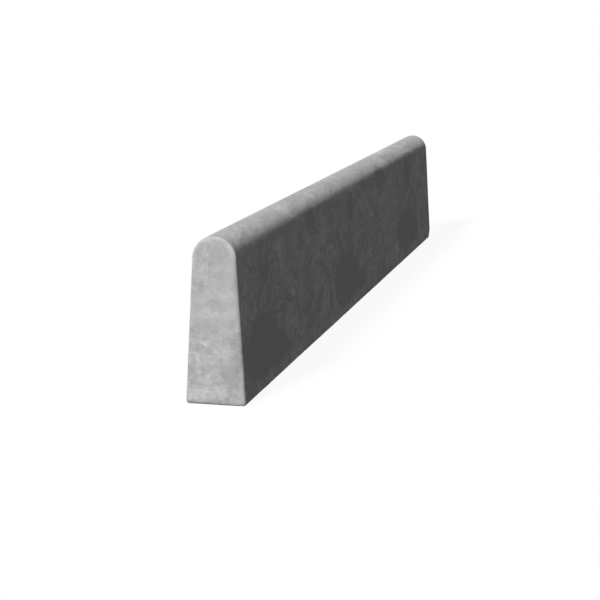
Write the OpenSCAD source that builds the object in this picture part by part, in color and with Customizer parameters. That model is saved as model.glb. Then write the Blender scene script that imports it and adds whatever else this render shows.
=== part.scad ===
// Precast concrete edger with a half-round nose, cast round a welded wire ladder.
// X runs along the edger, Y across it and Z up. The origin is the middle of the base.

/* [Casting] */
// Overall length
edger_len = 1000; // [700:10:1200]
// Height from the base to the crest of the nose
edger_h = 150; // [130:5:200]
// Width across the foot, over its softened arrises
base_w = 55; // [52:1:70]
// Radius of the half-round nose
nose_r = 20; // [18:0.5:24]
// Radius of the softened arrises round the base and both ends
arris_r = 3; // [1:0.5:4]

/* [Wire ladder] */
// Diameter of the two long bars
bar_d = 6; // [5:0.5:7]
// Diameter of the welded cross wires
wire_d = 4; // [3:0.5:5]
// Number of cross wires
wire_count = 5; // [3:1:7]
// Depth to which each weld sinks a cross wire into the bars
weld_sink = 0.6; // [0.3:0.1:1]
// Height of the lower bar's axis above the base
lower_bar_z = 26; // [24:1:32]
// Concrete left beyond the ends of the bars
end_cover = 25; // [20:1:40]
// Distance from the last cross wires to the ends of the bars
bar_tail = 25; // [15:1:40]
// Length of each cross wire beyond the axes of the bars
wire_tail = 8; // [6:1:10]

/* [Wheel spacers] */
// Thickness of a spacer along the bar
spacer_t = 8; // [6:1:12]
// Thickness of the spacer's rim
rim_t = 2; // [1.5:0.1:2.5]
// Wall of the hub that grips the bar
hub_wall = 2; // [1.5:0.1:2.5]
// Thickness of the spokes and of the jaws beside the mouth
spoke_t = 1.8; // [1.4:0.1:2.4]
// Number of spokes
spoke_count = 5; // [3:1:7]
// Width of the snap-in mouth as a share of the bar's diameter
mouth_share = 0.8; // [0.7:0.05:0.9]
// Concrete skin left over the rims
spacer_skin = 1.5; // [1:0.5:3]

/* [Hidden] */
concrete_tone = [0.71, 0.71, 0.70];
steel_tone = [0.36, 0.36, 0.38];
plastic_tone = [0.22, 0.23, 0.25];

// The nose is a circle of nose_r, tangent to both battered faces
nose_z = edger_h - nose_r;
foot_y = base_w / 2 - arris_r;
foot_to_nose = norm([foot_y, nose_z - arris_r]);
batter = atan(foot_y / (nose_z - arris_r)) - asin((nose_r - arris_r) / foot_to_nose);
ring_fn = 64;
arris_fn = 24;

bar_len = edger_len - 2 * end_cover;
wire_span = bar_len - 2 * bar_tail;
wire_pitch = wire_span / (wire_count - 1);
wire_y = (bar_d + wire_d) / 2 - weld_sink;
wire_len = nose_z - lower_bar_z + 2 * wire_tail;
wire_z = (nose_z + lower_bar_z) / 2;

// A spacer reaches to within spacer_skin of the nearest face of the casting
lower_bar_to_face = foot_y * cos(batter) - (lower_bar_z - arris_r) * sin(batter) + arris_r;
nose_rim_r = nose_r - spacer_skin;
base_rim_r = min(lower_bar_z, lower_bar_to_face) - spacer_skin;
hub_r = bar_d / 2 + hub_wall;
mouth_w = bar_d * mouth_share;
spacer_count = 2;
// The spacers stand midway between the two outer cross wires at each end
spacer_x = wire_span / 2 - wire_pitch / 2;
past = 1;
round_fn = 48;

wire_names = [for (i = [1:wire_count]) str("cross_wire_", i)];
nose_names = [for (i = [1:spacer_count]) str("nose_spacer_", i)];
base_names = [for (i = [1:spacer_count]) str("base_spacer_", i)];

// Places of the repeated pieces along X, counted from 1
function wire_x(i) = -wire_span / 2 + (i - 1) * wire_pitch;
function spacer_place(i) = (2 * i - spacer_count - 1) * spacer_x;

// A ball with a true point on every axis, so that the foot keeps its full width and height
module arris_ball() {
    rotate_extrude($fn = arris_fn)
        intersection() {
            circle(r = arris_r, $fn = arris_fn);
            translate([0, -arris_r]) square([arris_r, 2 * arris_r]);
        }
}

// Ring that rounds the nose's arris at an end
module nose_ring() {
    translate([0, 0, nose_z])
        rotate([0, 90, 0])
            rotate_extrude($fn = ring_fn)
                translate([nose_r - arris_r, 0]) circle(r = arris_r, $fn = arris_fn);
}

module outer_form() {
    hull()
        for (end = [-1, 1])
            translate([end * (edger_len / 2 - arris_r), 0, 0]) {
                nose_ring();
                for (side = [-1, 1])
                    translate([0, side * foot_y, arris_r]) arris_ball();
            }
}

module long_bar(z) {
    translate([0, 0, z])
        rotate([0, 90, 0])
            cylinder(d = bar_d, h = bar_len, center = true, $fn = round_fn);
}

// A cross wire before its welds are sunk into the bars
module whole_wire(i) {
    translate([wire_x(i), wire_y, wire_z])
        cylinder(d = wire_d, h = wire_len, center = true, $fn = round_fn);
}

// Face of a wheel spacer, with its mouth pointing along +X of the sketch
module spacer_face(rim_r) {
    difference() {
        union() {
            difference() {
                circle(r = rim_r, $fn = round_fn);
                circle(r = rim_r - rim_t, $fn = round_fn);
            }
            circle(r = hub_r, $fn = round_fn);
            for (i = [1:spoke_count])
                rotate(i * 360 / (spoke_count + 1))
                    translate([0, -spoke_t / 2]) square([rim_r - rim_t / 2, spoke_t]);
            translate([0, -mouth_w / 2 - spoke_t])
                square([rim_r - rim_t / 2, mouth_w + 2 * spoke_t]);
        }
        translate([0, -mouth_w / 2]) square([rim_r + past, mouth_w]);
    }
}

// A spacer before its bore is cut. turn is 1 for a mouth that points up and -1 for down
module whole_spacer(i, z, rim_r, turn) {
    translate([spacer_place(i), 0, z])
        rotate([0, -90 * turn, 0])
            linear_extrude(height = spacer_t, center = true)
                spacer_face(rim_r);
}

module whole_nose_spacer(i) {
    whole_spacer(i, nose_z, nose_rim_r, -1);
}

module whole_base_spacer(i) {
    whole_spacer(i, lower_bar_z, base_rim_r, 1);
}

// The casting fills every space round the ladder and through the spacers
module concrete_body() {
    color(concrete_tone)
        difference() {
            outer_form();
            long_bar(nose_z);
            long_bar(lower_bar_z);
            for (i = [1:wire_count]) whole_wire(i);
            for (i = [1:spacer_count]) whole_nose_spacer(i);
            for (i = [1:spacer_count]) whole_base_spacer(i);
        }
}

module upper_bar() {
    color(steel_tone) long_bar(nose_z);
}

module lower_bar() {
    color(steel_tone) long_bar(lower_bar_z);
}

module cross_wire(i) {
    color(steel_tone)
        difference() {
            whole_wire(i);
            long_bar(nose_z);
            long_bar(lower_bar_z);
        }
}

module nose_spacer(i) {
    color(plastic_tone)
        difference() {
            whole_nose_spacer(i);
            long_bar(nose_z);
        }
}

module base_spacer(i) {
    color(plastic_tone)
        difference() {
            whole_base_spacer(i);
            long_bar(lower_bar_z);
        }
}

concrete_body();
upper_bar();
lower_bar();
for (i = [1:wire_count])
    cross_wire(i);
for (i = [1:spacer_count])
    nose_spacer(i);
for (i = [1:spacer_count])
    base_spacer(i);
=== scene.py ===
import math
import random

import bmesh
import bpy
import numpy as np
from mathutils import Matrix, Vector, geometry, noise


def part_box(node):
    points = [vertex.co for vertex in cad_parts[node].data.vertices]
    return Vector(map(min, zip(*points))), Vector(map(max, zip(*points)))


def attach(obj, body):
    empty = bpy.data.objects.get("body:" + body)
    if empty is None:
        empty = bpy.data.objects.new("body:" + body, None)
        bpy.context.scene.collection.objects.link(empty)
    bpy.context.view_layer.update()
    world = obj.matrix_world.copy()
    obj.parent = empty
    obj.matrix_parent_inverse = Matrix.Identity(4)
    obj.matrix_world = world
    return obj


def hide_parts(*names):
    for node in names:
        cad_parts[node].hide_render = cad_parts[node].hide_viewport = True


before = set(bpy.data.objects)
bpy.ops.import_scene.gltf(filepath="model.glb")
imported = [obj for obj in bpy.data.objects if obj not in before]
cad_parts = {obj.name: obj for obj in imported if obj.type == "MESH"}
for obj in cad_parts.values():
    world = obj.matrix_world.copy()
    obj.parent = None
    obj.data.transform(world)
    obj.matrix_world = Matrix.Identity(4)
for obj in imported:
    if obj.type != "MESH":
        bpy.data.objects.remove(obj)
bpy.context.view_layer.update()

# X runs along the edger, Y across it, Z up. Sizes are in metres where no comment says mm.
MM = 0.001
SEED = 7

# ---- the casting's section, from the frame and its two radii ----
casting_low, casting_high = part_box("concrete_body")
LENGTH = casting_high.x - casting_low.x
HEIGHT = casting_high.z
NOSE_R = 20 * MM
ARRIS_R = 3 * MM
NOSE_Z = HEIGHT - NOSE_R
FOOT_Y = casting_high.y - ARRIS_R
FOOT_TO_NOSE = math.hypot(FOOT_Y, NOSE_Z - ARRIS_R)
BATTER = math.atan2(FOOT_Y, NOSE_Z - ARRIS_R) - math.asin((NOSE_R - ARRIS_R) / FOOT_TO_NOSE)

# Arc lengths of the half outline, walked from the middle of the base up to the crest
FOOT_ARC = ARRIS_R * (math.pi / 2 + BATTER)
SIDE_RUN = math.sqrt(FOOT_TO_NOSE**2 - (NOSE_R - ARRIS_R) ** 2)
NOSE_ARC = NOSE_R * (math.pi / 2 - BATTER)
SIDE_START = FOOT_Y + FOOT_ARC
NOSE_START = SIDE_START + SIDE_RUN
HALF_OUTLINE = NOSE_START + NOSE_ARC
OUTLINE = 2 * HALF_OUTLINE

# The skin's chart runs on past the straight part, round the arris at each end
STRAIGHT = LENGTH / 2 - ARRIS_R
END_ARC = ARRIS_R * math.pi / 2
CHART_END = STRAIGHT + END_ARC
# Middles of the arrises on the chart: round it at the foot, and along it at an end
FOOT_ARRIS = FOOT_Y + FOOT_ARC / 2
END_ARRIS = STRAIGHT + END_ARC / 2

# ---- mesh density: steps between points, and how far the fine ones reach ----
FINE = 1.3 * MM
COARSE = 2.6 * MM
NOSE_STEP = 1.9 * MM
CAP_STEP = 1.7 * MM
ARC_STEPS = 5
END_BAND = 12 * MM
FOOT_BAND = 4 * MM
SKIN_JITTER = 0.2 * COARSE
CAP_JITTER = 0.3 * CAP_STEP
RIM_MARGIN = 0.6 * CAP_STEP
WELD = 2e-6
# How far apart, in mm, chart points count as two
CHART_WELD = 1e-5

# ---- pinholes ----
SKIN_PITS, LARGEST_SKIN_PIT = 280, 0.85 * MM
CAP_PITS, LARGEST_CAP_PIT = 10, 0.6 * MM
SMALLEST_PIT = 0.35 * MM
PIT_SPACING = 2.5
PIT_MARGIN = 0.4 * MM
PIT_TO_SEAM = 4 * MM
PIT_TO_RIM = 3 * MM
PIT_RUN = 0.985 * STRAIGHT
# Depth of a pit, shallowest and deepest, as a share of its radius
PIT_DEPTHS = (0.4, 0.9)
# This power of an even draw makes most pits tiny
PIT_SKEW = 4
# How far a pit's outline strays from a circle, in two lobes and in five
PIT_WOBBLE = (0.16, 0.08)
# A pit's rings: share of its radius, share of its depth, number of points
PIT_RINGS = [(1.0, 0.0, 10), (0.86, 0.5, 10), (0.5, 0.88, 6), (0.0, 1.0, 1)]
# Depth at which a pit's painted shade is as dark as it gets
DARK_PIT = 0.5 * MM

# ---- relief: depths are in mm below the mould's true form ----
MEAN_DEPTH = 0.1
# Unevenness of the mould's faces: depth, size across, and the part of the noise it is taken from
MOULD_WAVES = [
    (0.12, 170 * MM, (3, 1, 7)),
    (0.08, 34 * MM, (0, 0, 0)),
    (0.05, 9 * MM, (5, 5, 5)),
]
# Wear fades out over this distance from an arris. Chips are where the noise is over the level
WEAR_REACH = 2.6 * MM
CHIP_LEVEL, CHIP_DEPTH, CHIP_SIZE = 0.42, 2.2, 13 * MM
RUB_LEVEL, RUB_DEPTH, RUB_SIZE = 0.2, 0.14, 45 * MM
FRAY_DEPTH, GRAIN_SIZE = 0.03, 4 * MM
# Painted highlight shown where an arris is whole, and the paler wear a chip adds
WHOLE_ARRIS_HIGHLIGHT, CHIP_WEAR = 0.5, 4
# The base was struck off along the mould, and its strokes are much longer than they are wide
STROKE_DEPTH, STROKE_LENGTH, STROKE_WIDTH = 0.35, 110 * MM, 7 * MM
RAGGED_DEPTH = 0.12
# The base is where the normal's Z is below this
BASE_NORMAL = -0.9
WORN_CORNER = Vector((LENGTH / 2, -FOOT_Y - ARRIS_R, 0))
CORNER_DEPTH, CORNER_REACH = 2.6, 7 * MM
SHARP_ANGLE = math.radians(50)


def add_object(name, data):
    thing = bpy.data.objects.new(name, data)
    bpy.context.scene.collection.objects.link(thing)
    return thing


def outline(u):
    """Places and outward normals in the YZ plane at arc lengths u round the section."""
    u = np.asarray(u, float)
    w = np.minimum(u, OUTLINE - u)
    foot_turn = (w - FOOT_Y) / ARRIS_R - math.pi / 2
    nose_turn = BATTER + (w - NOSE_START) / NOSE_R
    run = w - SIDE_START
    zero = 0 * w
    parts = [w < FOOT_Y, w < SIDE_START, w < NOSE_START]
    side_y = FOOT_Y + ARRIS_R * math.cos(BATTER) - run * math.sin(BATTER)
    side_z = ARRIS_R + ARRIS_R * math.sin(BATTER) + run * math.cos(BATTER)
    ny = np.select(parts, [zero, np.cos(foot_turn), zero + math.cos(BATTER)], np.cos(nose_turn))
    nz = np.select(parts, [zero - 1, np.sin(foot_turn), zero + math.sin(BATTER)], np.sin(nose_turn))
    y = np.select(parts, [w, FOOT_Y + ARRIS_R * ny, side_y], NOSE_R * ny)
    z = np.select(parts, [zero, ARRIS_R + ARRIS_R * nz, side_z], NOSE_Z + NOSE_R * nz)
    flip = np.where(u > HALF_OUTLINE, -1.0, 1.0)
    return y * flip, z, ny * flip, nz


def skin(u, v):
    """Places and normals on the casting's skin, for chart points u round it and v along it."""
    y, z, ny, nz = outline(u)
    turn = np.clip(np.abs(v) - STRAIGHT, 0, END_ARC) / ARRIS_R
    inset = ARRIS_R * (1 - np.cos(turn))
    x = np.sign(v) * (np.minimum(np.abs(v), STRAIGHT) + ARRIS_R * np.sin(turn))
    places = np.stack([x, y - ny * inset, z - nz * inset], 1)
    normals = np.stack([np.sign(v) * np.sin(turn), ny * np.cos(turn), nz * np.cos(turn)], 1)
    return places, normals


def outline_steps(flat, nose):
    """Arc lengths round the outline, a step of flat on its straight runs and nose on its crest."""
    corners = [0, FOOT_Y, SIDE_START, NOSE_START, HALF_OUTLINE]
    counts = [FOOT_Y / flat, ARC_STEPS, SIDE_RUN / flat, NOSE_ARC / nose]
    half = [0.0]
    for start, stop, count in zip(corners, corners[1:], counts):
        half.extend(np.linspace(start, stop, round(count) + 1)[1:])
    half = np.array(half)
    return np.concatenate([half, OUTLINE - half[-2::-1]])


def near_foot(u):
    """True beside the long arrises at the foot."""
    w = np.minimum(u, OUTLINE - u)
    return np.abs(w - FOOT_ARRIS) < FOOT_BAND


def chart_points(rng):
    """Points of the skin's chart, close together along every arris and further apart between."""
    coarse_u = outline_steps(COARSE, NOSE_STEP)
    fine_u = outline_steps(FINE, NOSE_STEP)
    foot_u = fine_u[near_foot(fine_u)]
    mixed_u = np.concatenate([coarse_u[~near_foot(coarse_u)], foot_u])
    points = []
    inner_end = STRAIGHT - END_BAND
    rows = round(2 * inner_end / COARSE)
    for row in range(rows):
        v = -inner_end + (row + 0.5) * 2 * inner_end / rows
        for u in mixed_u:
            # The seam of the chart stays straight, so that its two sides weld
            on_seam = u <= 0 or u >= OUTLINE
            points.append((u, v if on_seam else v + rng.uniform(-SKIN_JITTER, SKIN_JITTER)))
        points += [(u, v + COARSE / 2) for u in foot_u]
    for side in (-1, 1):
        band = list(np.linspace(inner_end, STRAIGHT, round(END_BAND / FINE) + 1))
        bend = list(STRAIGHT + END_ARC * np.arange(1, ARC_STEPS + 1) / ARC_STEPS)
        for v in band + bend:
            points += [(u, side * v) for u in fine_u]
    return points


def scatter_pits(rng, count, pick_place, largest):
    """Pinholes left by air bubbles: mostly tiny, a few near the largest radius, none touching."""
    pits = []
    while len(pits) < count:
        radius = SMALLEST_PIT + (largest - SMALLEST_PIT) * rng.random() ** PIT_SKEW
        centre = pick_place()
        if all(math.dist(centre, pit[0]) > PIT_SPACING * (radius + pit[1]) for pit in pits):
            depth = radius * rng.uniform(*PIT_DEPTHS)
            pits.append((centre, radius, depth, rng.uniform(0, math.tau)))
    return pits


def add_pits(points, pits):
    """Clears the points round each pit and adds its rings. Returns the points and their depths."""
    kept = np.array(points)
    two_lobes, five_lobes = PIT_WOBBLE
    for centre, radius, _, _ in pits:
        gap = np.hypot(kept[:, 0] - centre[0], kept[:, 1] - centre[1])
        kept = kept[gap > radius + PIT_MARGIN]
    points = [tuple(p) for p in kept]
    depths = [0.0] * len(points)
    for centre, radius, depth, phase in pits:
        for share, sink, count in PIT_RINGS:
            for k in range(count):
                angle = math.tau * k / count + phase
                wobble = two_lobes * math.sin(2 * angle + phase) + five_lobes * math.sin(5 * angle)
                reach = share * radius * (1 + wobble)
                along, up = reach * math.cos(angle), reach * math.sin(angle)
                points.append((centre[0] + along, centre[1] + up))
                depths.append(sink * depth)
    return points, depths


def triangles(points, border=()):
    """Delaunay triangles of chart points, inside a border if one is given."""
    flat = [Vector(p) / MM for p in points]
    keep_inside = 1 if border else 0
    result = geometry.delaunay_2d_cdt(flat, border, [], keep_inside, CHART_WELD)
    faces, origins = result[2], result[3]
    return [[origins[i][0] for i in face] for face in faces]


def waves(place, size, shift=(0, 0, 0)):
    """Smooth noise round 0, with features about size metres across."""
    return noise.noise(place / size + Vector(shift))


def relief(place, normal, gap):
    """How far the surface lies inside the mould's true form, in metres, and how worn it is, which also
    sets a painted highlight along each arris.
    gap is the way to the nearest arris."""
    sink = MEAN_DEPTH
    for depth, size, shift in MOULD_WAVES:
        sink += depth * waves(place, size, shift)
    wear_and_highlight = math.exp(-((gap / WEAR_REACH) ** 2))
    chip = max(0.0, waves(place, CHIP_SIZE, (9, 2, 4)) - CHIP_LEVEL)
    rub = waves(place, RUB_SIZE, (2, 8, 6)) + RUB_LEVEL
    fray = waves(place, GRAIN_SIZE)
    sink += wear_and_highlight * (CHIP_DEPTH * chip + RUB_DEPTH * rub + FRAY_DEPTH * fray)
    if normal.z < BASE_NORMAL:
        stroke = noise.noise(Vector((place.x / STROKE_LENGTH, place.y / STROKE_WIDTH, 0)))
        sink += STROKE_DEPTH * abs(stroke) + RAGGED_DEPTH * (fray + 0.5)
    to_corner = (place - WORN_CORNER).length
    sink += CORNER_DEPTH * math.exp(-((to_corner / CORNER_REACH) ** 2))
    return max(sink, 0) * MM, wear_and_highlight * (WHOLE_ARRIS_HIGHLIGHT + CHIP_WEAR * chip)


class Surface:
    """Collects the casting's points and faces, each point moved in by its relief."""

    def __init__(self):
        self.verts, self.faces, self.pores, self.wear_and_highlight_shares = [], [], [], []

    def take(self, places, normals, depths, gaps, tris):
        start = len(self.verts)
        for place, normal, depth, gap in zip(places, normals, depths, gaps):
            place, normal = Vector(place), Vector(normal)
            sink, wear_and_highlight = relief(place, normal, gap)
            self.verts.append(place - normal * (sink + depth))
            self.pores.append(min(1.0, depth / DARK_PIT))
            self.wear_and_highlight_shares.append(wear_and_highlight)
        self.faces.extend([start + i for i in tri] for tri in tris)


def add_skin(surface, rng):
    """One chart, wrapped round the section and over the arris at each end."""

    def pick_place():
        return rng.uniform(PIT_TO_SEAM, OUTLINE - PIT_TO_SEAM), rng.uniform(-PIT_RUN, PIT_RUN)

    points = chart_points(rng)
    points, depths = add_pits(points, scatter_pits(rng, SKIN_PITS, pick_place, LARGEST_SKIN_PIT))
    u, v = np.array(points).T
    w = np.minimum(u, OUTLINE - u)
    gaps = np.minimum(np.abs(w - FOOT_ARRIS), np.abs(np.abs(v) - END_ARRIS))
    surface.take(*skin(u, v), depths, gaps, triangles(points))


def add_cap(surface, rng, side):
    """The flat face at one end, its border the same points as the skin's edge."""
    rim_u = outline_steps(FINE, NOSE_STEP)[:-1]
    rim = skin(rim_u, np.full(len(rim_u), side * CHART_END))[0][:, 1:]
    rim = list(dict.fromkeys(tuple(p) for p in rim))
    edges = [(i, (i + 1) % len(rim)) for i in range(len(rim))]
    rim_array = np.array(rim)

    def rim_gap(p):
        return np.hypot(rim_array[:, 0] - p[0], rim_array[:, 1] - p[1]).min()

    def inside(p):
        half = FOOT_Y - p[1] * math.tan(BATTER)
        if p[1] > NOSE_Z:
            half = math.sqrt(max(0, (NOSE_R - ARRIS_R) ** 2 - (p[1] - NOSE_Z) ** 2))
        return abs(p[0]) < half and ARRIS_R < p[1] and rim_gap(p) > RIM_MARGIN

    def pick_place():
        while True:
            spot = (rng.uniform(-FOOT_Y, FOOT_Y), rng.uniform(ARRIS_R, HEIGHT))
            if inside(spot) and rim_gap(spot) > PIT_TO_RIM:
                return spot

    grid = []
    for z in np.arange(ARRIS_R, HEIGHT, CAP_STEP):
        for y in np.arange(-FOOT_Y, FOOT_Y, CAP_STEP):
            spot = (y + rng.uniform(-CAP_JITTER, CAP_JITTER), z + rng.uniform(-CAP_JITTER, CAP_JITTER))
            if inside(spot):
                grid.append(spot)
    inner, depths = add_pits(grid, scatter_pits(rng, CAP_PITS, pick_place, LARGEST_CAP_PIT))
    points = rim + inner
    tris = triangles(points, edges)
    if side < 0:
        tris = [tri[::-1] for tri in tris]
    places = [(side * LENGTH / 2, y, z) for y, z in points]
    gaps = [rim_gap(p) + END_ARC / 2 for p in points]
    surface.take(places, [(side, 0, 0)] * len(points), [0.0] * len(rim) + depths, gaps, tris)


def add_hollows(bm):
    """Adds the hollows that the ladder and the spacers fill: the CAD casting's inner walls."""
    inner = bmesh.new()
    inner.from_mesh(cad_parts["concrete_body"].data)
    bmesh.ops.remove_doubles(inner, verts=inner.verts, dist=WELD)
    outside = {max(inner.verts, key=lambda vert: vert.co.z)}
    front = list(outside)
    while front:
        near = {edge.other_vert(vert) for vert in front for edge in vert.link_edges} - outside
        outside |= near
        front = list(near)
    bmesh.ops.delete(inner, geom=list(outside), context="VERTS")
    walls = bpy.data.meshes.new("hollows")
    inner.to_mesh(walls)
    inner.free()
    bm.from_mesh(walls)


def make_casting():
    """The skin and its two caps, welded together, with the hollows inside."""
    rng = random.Random(SEED)
    surface = Surface()
    add_skin(surface, rng)
    for side in (-1, 1):
        add_cap(surface, rng, side)
    mesh = bpy.data.meshes.new("concrete_casting")
    mesh.from_pydata(surface.verts, [], surface.faces)
    # The second attribute holds arris wear and the weight of a painted highlight; pore holds pit depth,
    # which sets painted shade in pinholes
    for name, values in (("pore", surface.pores), ("wear_and_highlight", surface.wear_and_highlight_shares)):
        mesh.attributes.new(name, "FLOAT", "POINT").data.foreach_set("value", values)
    bm = bmesh.new()
    bm.from_mesh(mesh)
    bmesh.ops.remove_doubles(bm, verts=bm.verts, dist=WELD)
    bmesh.ops.recalc_face_normals(bm, faces=bm.faces)
    add_hollows(bm)
    bm.to_mesh(mesh)
    bm.free()
    mesh.shade_smooth()
    mesh.set_sharp_from_angle(angle=SHARP_ANGLE)
    return add_object("concrete_casting", mesh)


# ---- materials ----
class Graph:
    """A material's node tree, built by small calls."""

    def __init__(self, name):
        self.material = bpy.data.materials.new(name)
        self.material.use_nodes = True
        self.tree = self.material.node_tree
        self.tree.nodes.clear()

    def add(self, kind, sockets=None, **settings):
        node = self.tree.nodes.new("ShaderNode" + kind)
        for name, value in settings.items():
            setattr(node, name, value)
        for key, value in (sockets or {}).items():
            if isinstance(value, bpy.types.NodeSocket):
                self.tree.links.new(value, node.inputs[key])
            else:
                node.inputs[key].default_value = value
        return node

    def math(self, operation, a, b=0.0):
        return self.add("Math", {0: a, 1: b}, operation=operation).outputs[0]

    def vector(self, operation, sockets):
        return self.add("VectorMath", sockets, operation=operation)

    def plus(self, total, value, strength):
        """The total with value, times strength, added to it."""
        return self.math("ADD", total, self.math("MULTIPLY", value, strength))

    def ramp(self, value, low, high):
        """0 from low outwards and 1 from high outwards, with a soft step between."""
        sockets = {"Value": value, "From Min": low, "From Max": high}
        return self.add("MapRange", sockets, interpolation_type="SMOOTHSTEP").outputs["Result"]

    def stretch_to(self, value, low, high):
        """A value from 0 to 1, stretched to run from low to high."""
        sockets = {"Value": value, "To Min": low, "To Max": high}
        return self.add("MapRange", sockets).outputs["Result"]

    def blend(self, share, a, b):
        """a where share is 0 and b where it is 1."""
        return self.add("Mix", {"Factor": share, "A": a, "B": b}).outputs["Result"]

    def tint(self, share, a, b):
        """Colour a where share is 0 and colour b where it is 1."""
        sockets = {"Factor": share, 6: a, 7: b}
        return self.add("Mix", sockets, data_type="RGBA").outputs[2]

    def spread(self, size, detail=4.0, stretch=(1, 1, 1), shift=0.0, roughness=0.55, swirl=0.0):
        """Noise from 0 to 1, its features about size metres across. shift picks its pattern."""
        place = self.add("TexCoord").outputs["Object"]
        move = {"Vector": place, "Location": (shift,) * 3, "Scale": stretch}
        sockets = {"Vector": self.add("Mapping", move).outputs[0], "Scale": 1 / size}
        sockets.update({"Detail": detail, "Roughness": roughness, "Distortion": swirl})
        return self.add("TexNoise", sockets).outputs["Fac"]

    def swing(self, size, detail=4.0, **options):
        """The same noise, from -0.5 to 0.5."""
        return self.math("SUBTRACT", self.spread(size, detail, **options), 0.5)

    def patch(self, place, centre, size, fade=(1.15, 0.7)):
        """1 inside a soft-edged patch, 0 outside. Its centre and half sizes are in mm."""
        scale = [1 / (half * MM) for half in size]
        shift = [-middle / half for middle, half in zip(centre, size)]
        move = {"Vector": place, "Location": shift, "Scale": scale}
        scaled = self.add("Mapping", move).outputs[0]
        return self.ramp(self.vector("LENGTH", {0: scaled}).outputs["Value"], *fade)

    def bump(self, height, distance, strength, normal=None):
        sockets = {"Height": height, "Distance": distance, "Strength": strength}
        if normal is not None:
            sockets["Normal"] = normal
        return self.add("Bump", sockets).outputs[0]

    def attribute(self, name):
        return self.add("Attribute", attribute_name=name).outputs["Fac"]

    def finish(self, colour, roughness, bump, **constants):
        sockets = {"Base Color": colour, "Roughness": roughness, "Normal": bump}
        shader = self.add("BsdfPrincipled", sockets)
        for name, value in constants.items():
            shader.inputs[name.replace("_", " ").title()].default_value = value
        self.add("OutputMaterial", {"Surface": shader.outputs[0]})
        return self.material


# Tones are shares of the cement's own grey: paler than it above 0, darker below, and black at -1
CEMENT_GREY = 0.425
# How strongly each kind of marking swings the tone
BLOTCHES, SPECKS, LAITANCE, WISPS, RUN_MARKS = 0.9, 0.46, 0.12, 0.12, 0.2
# The finer layers of mottling are this strong where the cement is lively, and where it is calm
LIVELY, CALM = 1.2, 0.4
# A long face has more contrast and is a little paler, but no part of it is darker than damp cement
LONG_FACE_CONTRAST, LONG_FACE_LIFT = 1.18, 0.02
DAMP, BLACK = -0.14, -1.0
# What a damp lobe takes off, far enough below damp cement to give the lobe a flat middle
LOBE_TONE = -0.55
# Tones of the painted shade round the foot, of a pale sand grain and of the painted shade in a pinhole
FOOT_SHADE, GRAIN, PIT_SHADE = -0.06, 0.08, -0.14
GRAINS_PER_METRE = 760.0
# Worn arrises are paler, as wear and as a painted highlight, little below this band of height and fully
# above it
HIGHLIGHT_BAND = (105 * MM, 135 * MM)
WEAR_AND_HIGHLIGHT_TONES = (0.04, 0.6)
# Noise pushes the outlines of stains about, within a cube this wide
DRIFT = 22 * MM
DRIFTS_PER_METRE = 60.0

# Near end of the edger along X, in mm
END = -LENGTH / 2 / MM
# Stains: middle and half size along X, Y and Z in mm, and tone
STAINS = [
    # The front face: dark runs below the nose, then pale cloudy patches and faint darker ones
    ((-415, -22, 113), (20, 9, 16), -0.16),
    ((-37, -22, 120), (14, 9, 22), -0.2),
    ((327, -22, 116), (15, 9, 26), -0.26),
    ((-230, -19, 128), (22, 12, 14), -0.22),
    ((140, -18, 129), (30, 12, 15), -0.24),
    ((-345, -25, 110), (20, 9, 22), 0.06),
    ((-298, -24, 114), (24, 9, 14), 0.09),
    ((-170, -25, 102), (34, 9, 14), 0.07),
    ((34, -24, 112), (26, 9, 18), 0.13),
    ((382, -24, 106), (26, 9, 22), 0.07),
    ((-275, -27, 42), (15, 9, 30), 0.06),
    ((-184, -27, 40), (26, 9, 24), 0.1),
    ((200, -28, 42), (16, 9, 12), 0.05),
    ((-2, -26, 64), (18, 9, 14), -0.13),
    ((-45, -25, 82), (28, 9, 12), -0.07),
    ((200, -25, 92), (16, 9, 12), -0.07),
    ((445, -27, 38), (24, 9, 30), -0.06),
    # The nose
    ((-95, -13, 145), (18, 7, 6), -0.09),
    ((265, -13, 145), (20, 7, 6), -0.12),
    ((-225, -10, 147), (22, 7, 6), 0.08),
    ((-188, -11, 146), (16, 7, 6), 0.07),
    ((180, -11, 146), (18, 7, 6), 0.07),
    # The near end
    ((END, -16, 142), (6, 5, 5), 0.1),
    ((END, 0, 139), (9, 18, 9), -0.05),
    ((END, 15, 135), (9, 5, 4), -0.08),
    ((END, -10, 138), (9, 6, 4), -0.07),
    ((END, 5, 125), (9, 6, 5), 0.08),
    ((END, -3, 115), (9, 11, 4), -0.06),
    ((END, 17, 112), (9, 5, 6), -0.05),
    ((END, 2, 97), (9, 15, 7), 0.1),
    ((END, -20, 98), (9, 4, 34), -0.09),
    ((END, 5, 84), (9, 5, 3), 0.12),
    ((END, -1, 80), (9, 6, 2), 0.12),
    ((END, -13, 73), (9, 9, 6), -0.1),
    ((END, 7, 67), (9, 14, 8), -0.1),
    ((END, -6, 61), (9, 5, 4), 0.08),
    ((END, 8, 57), (9, 5, 3), 0.06),
    ((END, -12, 49), (9, 4, 4), 0.1),
    ((END, 12, 44), (9, 8, 9), 0.12),
    ((END, -20, 48), (9, 5, 18), -0.13),
    ((END, 0, 30), (9, 11, 8), 0.06),
    ((END, -16, 31), (9, 10, 16), -0.16),
    ((END, 17, 12), (9, 9, 7), 0.15),
    ((END, 0, 13), (9, 9, 5), 0.13),
    ((END, -9, 12), (9, 6, 5), -0.07),
]
# Where each damp patch starts along the front face, in mm
DAMP_STARTS = (-488, -122, 244)
# A damp patch's lobes, in mm: middle along X, from its start, and along Z, then half sizes
DAMP_LOBES = [((55, 40), (58, 20, 30)), ((108, 27), (44, 20, 14))]
# Parts of the near end that the mould left smooth, in mm: middle and half size
SMOOTH_PARTS = [((END, 0, 84), (9, 30, 24)), ((END, -17, 32), (9, 11, 18))]


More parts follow.
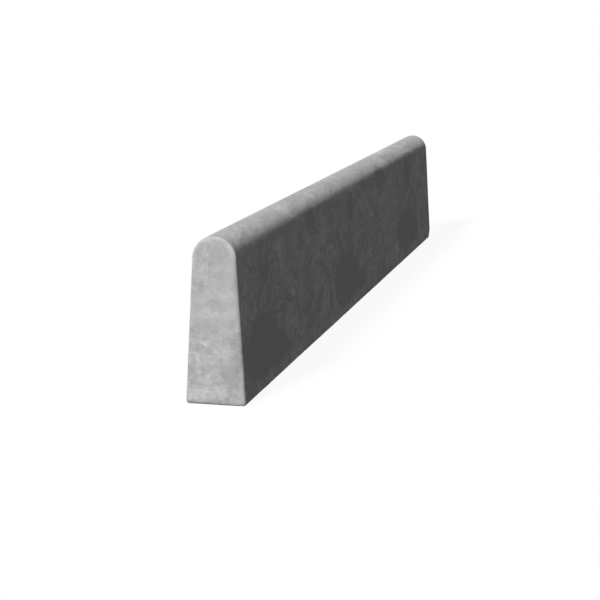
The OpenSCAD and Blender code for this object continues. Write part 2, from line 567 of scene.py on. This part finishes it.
def mottle(g, stretch, broad, calm):
    """How pale or dark the cement is in itself, from broad layers down to specks.
    The finer layers fade where calm is 1."""
    tone = g.math("MULTIPLY", g.swing(140 * MM, 3, stretch=stretch, shift=9.52), broad / 3)
    uneven = g.swing(40 * MM, 5, stretch=stretch, shift=12.32, roughness=0.65, swirl=0.6)
    tone = g.plus(tone, uneven, broad)
    fine = g.swing(13 * MM, 4, stretch=stretch, shift=10.42, roughness=0.65, swirl=1.0)
    fine = g.math("MULTIPLY", fine, BLOTCHES)
    specks = g.swing(3.2 * MM, 3, stretch=stretch, shift=15.92, roughness=0.6, swirl=0.8)
    fine = g.plus(fine, specks, SPECKS)
    # Laitance, in paler cloudy patches
    cloud = g.spread(19 * MM, 5, stretch=stretch, shift=17.62, roughness=0.6, swirl=1.2)
    fine = g.plus(fine, g.ramp(cloud, 0.53, 0.72), LAITANCE)
    # Thin pale wisps, along the level lines of a noise
    level = g.math("ABSOLUTE", g.swing(16 * MM, 4, stretch=stretch, shift=13.32, swirl=1.5))
    here = g.ramp(g.spread(30 * MM, 2, shift=6.6), 0.45, 0.62)
    fine = g.plus(fine, g.math("MULTIPLY", g.ramp(level, 0.035, 0.0), here), WISPS)
    return g.plus(tone, fine, g.blend(calm, LIVELY, CALM))


def drifted(g, place):
    """The place pushed about by noise, so that no stain has a clean outline."""
    push = g.add("TexNoise", {"Vector": place, "Scale": DRIFTS_PER_METRE, "Detail": 4.0}).outputs["Color"]
    push = g.vector("SUBTRACT", {0: push, 1: (0.5, 0.5, 0.5)}).outputs[0]
    push = g.vector("SCALE", {0: push, "Scale": DRIFT}).outputs[0]
    return g.vector("ADD", {0: place, 1: push}).outputs[0]


def cement(g, place, height, long_face):
    """Tone of the cement with its stains, its run marks and its damp patches.
    Also returns a mask, 0 on the faces and 1 on the nose."""
    # The faces were tamped in layers, and the nose was drawn smooth along its length
    on_nose = g.ramp(height, NOSE_Z - 6 * MM, NOSE_Z + 4 * MM)
    calm = g.ramp(g.spread(60 * MM, 3, shift=27.1), 0.48, 0.62)
    for centre, size in SMOOTH_PARTS:
        calm = g.math("MAXIMUM", calm, g.patch(place, centre, size))
    faces = mottle(g, (0.85, 1, 1.35), 0.66, calm)
    nose = mottle(g, (0.3, 1, 1), 0.33, calm)
    tone = g.blend(on_nose, faces, nose)
    pushed = drifted(g, place)
    for centre, size, strength in STAINS:
        tone = g.plus(tone, g.patch(pushed, centre, size), strength)
    # Faint run marks down the long faces
    runs = g.swing(16 * MM, 4, stretch=(1, 1, 0.12), shift=3.0, roughness=0.6)
    tone = g.plus(tone, g.math("MULTIPLY", runs, RUN_MARKS), long_face)
    tone = g.math("MULTIPLY", tone, g.blend(long_face, 1.0, LONG_FACE_CONTRAST))
    tone = g.plus(tone, long_face, LONG_FACE_LIFT)
    for start in DAMP_STARTS:
        for (along, up), size in DAMP_LOBES:
            centre = (start + along, -FOOT_Y / MM, up)
            lobe = g.patch(pushed, centre, size, fade=(1.25, 0.55))
            tone = g.plus(tone, g.math("MULTIPLY", lobe, long_face), LOBE_TONE)
    return g.math("MAXIMUM", tone, g.blend(long_face, BLACK, DAMP)), on_nose


def concrete():
    g = Graph("precast_concrete")
    place = g.add("TexCoord").outputs["Object"]
    height = g.add("SeparateXYZ", {0: place}).outputs["Z"]
    normal = g.add("SeparateXYZ", {0: g.add("TexCoord").outputs["Normal"]})
    long_face = g.ramp(g.math("ABSOLUTE", normal.outputs["Y"]), 0.9, 0.99)
    tone, on_nose = cement(g, place, height, long_face)
    # Painted shade in a thin line round the foot, where it meets the floor
    edge = g.math("ADD", g.math("MULTIPLY", g.spread(12 * MM, 3, shift=2.9), 5 * MM), 0.5 * MM)
    foot_shade = g.ramp(g.math("SUBTRACT", height, edge), 1.5 * MM, -1.5 * MM)
    tone = g.plus(tone, foot_shade, FOOT_SHADE)
    # Sand grains showing at the surface, a few of them pale and a few dark
    grains = g.add("TexVoronoi", {"Vector": place, "Scale": GRAINS_PER_METRE})
    shade = g.add("SeparateColor", {0: grains.outputs["Color"]}).outputs[0]
    body = g.ramp(grains.outputs["Distance"], 0.55, 0.3)
    tone = g.plus(tone, g.math("MULTIPLY", g.ramp(shade, 0.9, 0.95), body), GRAIN)
    tone = g.plus(tone, g.math("MULTIPLY", g.ramp(shade, 0.12, 0.06), body), -GRAIN)
    # Pinholes are painted darker the deeper they are, as shade. Worn arrises are paler, as wear and as a
    # painted highlight, mostly round the nose
    tone = g.plus(tone, g.attribute("pore"), PIT_SHADE)
    wear_and_highlight_tone = g.blend(g.ramp(height, *HIGHLIGHT_BAND), *WEAR_AND_HIGHLIGHT_TONES)
    tone = g.plus(tone, g.math("POWER", g.attribute("wear_and_highlight"), 2.0), wear_and_highlight_tone)
    grey = g.math("MULTIPLY", g.math("ADD", tone, 1.0), CEMENT_GREY)
    colour = g.add("CombineColor", {0: grey, 1: grey, 2: grey}).outputs[0]
    rough = g.stretch_to(g.spread(6 * MM, 3, shift=6.0), 0.8, 0.98)
    sand = g.bump(g.spread(1.1 * MM, 3, shift=5.5), 0.12 * MM, 0.6)
    lumps = g.bump(g.spread(5.5 * MM, 3, shift=8.8), 0.25 * MM, g.blend(on_nose, 0.6, 1.0), sand)
    return g.finish(colour, rough, lumps, diffuse_roughness=0.25)


MILL_SCALE = (0.2, 0.195, 0.19, 1)
BARE_STEEL = (0.33, 0.32, 0.31, 1)
RUST = (0.17, 0.07, 0.03, 1)


def wire_steel():
    """Drawn wire with patches of dark mill scale and freckles of rust."""
    g = Graph("drawn_wire")
    bare = g.ramp(g.spread(7 * MM, 4, roughness=0.65), 0.45, 0.6)
    rust = g.ramp(g.spread(4 * MM, 5, shift=3.3, roughness=0.7), 0.56, 0.68)
    colour = g.tint(rust, g.tint(bare, MILL_SCALE, BARE_STEEL), RUST)
    rough = g.stretch_to(rust, 0.38, 0.85)
    draw_marks = g.spread(1.2 * MM, 2, stretch=(0.05, 1, 1))
    return g.finish(colour, rough, g.bump(draw_marks, 0.04 * MM, 0.5), metallic=0.85)


NEAR_BLACK = (0.035, 0.037, 0.042, 1)
HAZE = (0.07, 0.072, 0.078, 1)


def spacer_plastic():
    """Near-black moulded plastic with a faint haze and a fine grain."""
    g = Graph("spacer_plastic")
    haze = g.spread(4 * MM, 3, roughness=0.6)
    colour = g.tint(haze, NEAR_BLACK, HAZE)
    rough = g.stretch_to(haze, 0.45, 0.7)
    return g.finish(colour, rough, g.bump(g.spread(0.5 * MM, 2), 0.03 * MM, 0.4))


WHITE = (1, 1, 1, 1)
FLOOR_GLOW, FLOOR_PAINT = 0.93, 0.077


def floor_material():
    """A plain white table. Most of its white is its own glow, which keeps the shadow pale."""
    g = Graph("pale_floor")
    glow = g.add("Emission", {"Color": WHITE, "Strength": FLOOR_GLOW})
    paint = g.add("BsdfDiffuse", {"Color": (FLOOR_PAINT, FLOOR_PAINT, FLOOR_PAINT, 1)})
    both = g.add("AddShader", {0: glow.outputs[0], 1: paint.outputs[0]})
    g.add("OutputMaterial", {"Surface": both.outputs[0]})
    return g.material


# ---- stage ----
FLOOR_REACH = 45.0
SUN_STRENGTH = 3.82
SUN_WIDTH = math.radians(8)
TO_SUN = Vector((-0.785, 0.203, 0.586))
# The room's light grows from its low to its high strength across this tilted band of the sky
SKY_TILT = (0.5, 0, 1)
SKY_BAND = (-0.3, 0.3)
SKY_STRENGTH = (0.105, 0.207)
CAMERA_TO_END = 1.2626
CAMERA_PLACE = (-LENGTH / 2 - CAMERA_TO_END, -0.3907, 0.3535)
CAMERA_LENS, SENSOR_WIDTH = 93.31, 36
YAW, PITCH, ROLL = math.radians(13.968), math.radians(11.116), math.radians(-0.162)


def add_floor():
    mesh = bpy.data.meshes.new("floor")
    corners = [(-1, -1), (1, -1), (1, 1), (-1, 1)]
    mesh.from_pydata([(x * FLOOR_REACH, y * FLOOR_REACH, 0) for x, y in corners], [], [(0, 1, 2, 3)])
    mesh.materials.append(floor_material())
    floor = add_object("floor", mesh)
    floor.visible_diffuse = False
    floor.visible_glossy = False


def add_key():
    """One soft key, behind the camera and to its left."""
    key = bpy.data.lights.new("key", "SUN")
    key.energy = SUN_STRENGTH
    key.angle = SUN_WIDTH
    lamp = add_object("key", key)
    lamp.rotation_mode = "QUATERNION"
    lamp.rotation_quaternion = TO_SUN.to_track_quat("Z", "Y")


def add_room():
    """A dim room, brighter overhead and far off, that the camera sees as plain white."""
    world = bpy.data.worlds.new("studio")
    bpy.context.scene.world = world
    world.use_nodes = True
    tree = world.node_tree
    way = tree.nodes.new("ShaderNodeTexCoord")
    tilt = tree.nodes.new("ShaderNodeVectorMath")
    tilt.operation = "DOT_PRODUCT"
    tilt.inputs[1].default_value = SKY_TILT
    tree.links.new(way.outputs["Generated"], tilt.inputs[0])
    overhead = tree.nodes.new("ShaderNodeMapRange")
    for ends, values in ((("From Min", "From Max"), SKY_BAND), (("To Min", "To Max"), SKY_STRENGTH)):
        for name, value in zip(ends, values):
            overhead.inputs[name].default_value = value
    tree.links.new(tilt.outputs["Value"], overhead.inputs["Value"])
    fill = tree.nodes["Background"]
    fill.inputs["Color"].default_value = WHITE
    tree.links.new(overhead.outputs["Result"], fill.inputs["Strength"])
    backdrop = tree.nodes.new("ShaderNodeBackground")
    backdrop.inputs["Color"].default_value = WHITE
    ray = tree.nodes.new("ShaderNodeLightPath")
    mix = tree.nodes.new("ShaderNodeMixShader")
    tree.links.new(ray.outputs["Is Camera Ray"], mix.inputs[0])
    tree.links.new(fill.outputs[0], mix.inputs[1])
    tree.links.new(backdrop.outputs[0], mix.inputs[2])
    tree.links.new(mix.outputs[0], tree.nodes["World Output"].inputs[0])


def add_camera():
    """Stands before the near end, off the front side, and looks down along the edger."""
    data = bpy.data.cameras.new("camera")
    data.sensor_width = SENSOR_WIDTH
    data.lens = CAMERA_LENS
    ahead = Vector((math.cos(YAW), math.sin(YAW), 0))
    forward = math.cos(PITCH) * ahead - math.sin(PITCH) * Vector((0, 0, 1))
    sideways = Vector((math.sin(YAW), -math.cos(YAW), 0))
    right = math.cos(ROLL) * sideways + math.sin(ROLL) * sideways.cross(forward)
    up = right.cross(forward)
    turn = Matrix((right, up, -forward)).transposed()
    camera = add_object("camera", data)
    camera.matrix_world = Matrix.Translation(CAMERA_PLACE) @ turn.to_4x4()
    bpy.context.scene.camera = camera


def dress(node, material):
    """Gives a CAD node its material."""
    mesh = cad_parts[node].data
    mesh.materials.clear()
    mesh.materials.append(material)


add_camera()
add_key()
add_room()
add_floor()
bpy.context.scene.view_settings.view_transform = "Standard"

casting = make_casting()
casting.data.materials.append(concrete())
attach(casting, "root")
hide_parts("concrete_body")

steel, plastic = wire_steel(), spacer_plastic()
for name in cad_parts:
    if "bar" in name or "wire" in name:
        dress(name, steel)
    elif "spacer" in name:
        dress(name, plastic)
